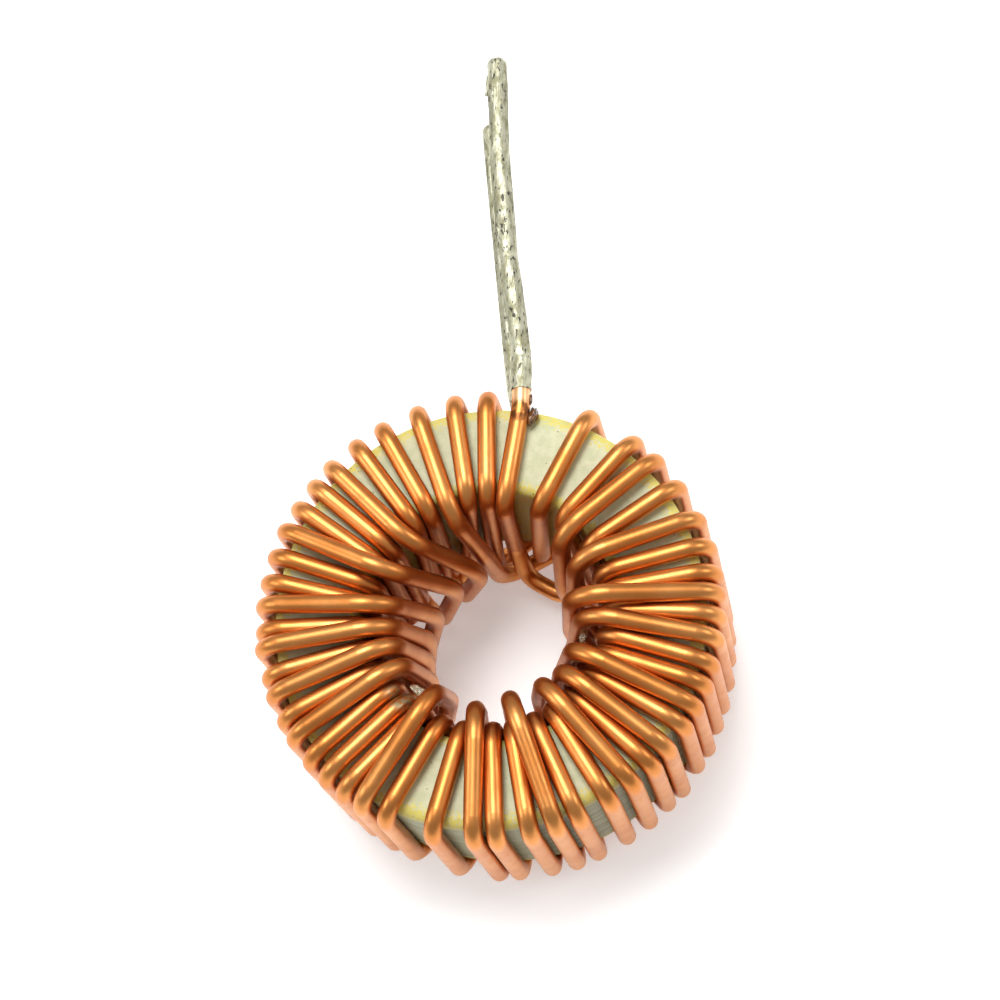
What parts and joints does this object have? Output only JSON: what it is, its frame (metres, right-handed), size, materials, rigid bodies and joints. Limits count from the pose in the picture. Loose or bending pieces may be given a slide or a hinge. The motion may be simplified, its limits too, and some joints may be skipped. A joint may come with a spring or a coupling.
{
  "type": "toroidal inductor",
  "caption": "Toroidal inductor: enamelled copper wire wound close round a coated powder ring, its turns banked over each other, with straight tinned leads side by side.",
  "frame": {"origin": "on the ring's axis, in the plane that the lowest turns rest on", "axes": "+Z along the ring's axis, away from the surface it rests on; +Y towards the tips of the leads; +X to the right as seen from above with the leads pointing away"},
  "size_m": [0.025, 0.0456, 0.0145],
  "materials": {
    "core_coating": "satin coating, off-white faces and yellow edges",
    "enamelled_copper": "glossy clear enamel over copper",
    "solder": "dull mottled solder"
  },
  "bodies": {
    "root": {"core": "core_coating", "winding": "enamelled_copper", "upper_lead_tinning": "solder", "lower_lead_tinning": "solder"}
  },
  "joints": []
}
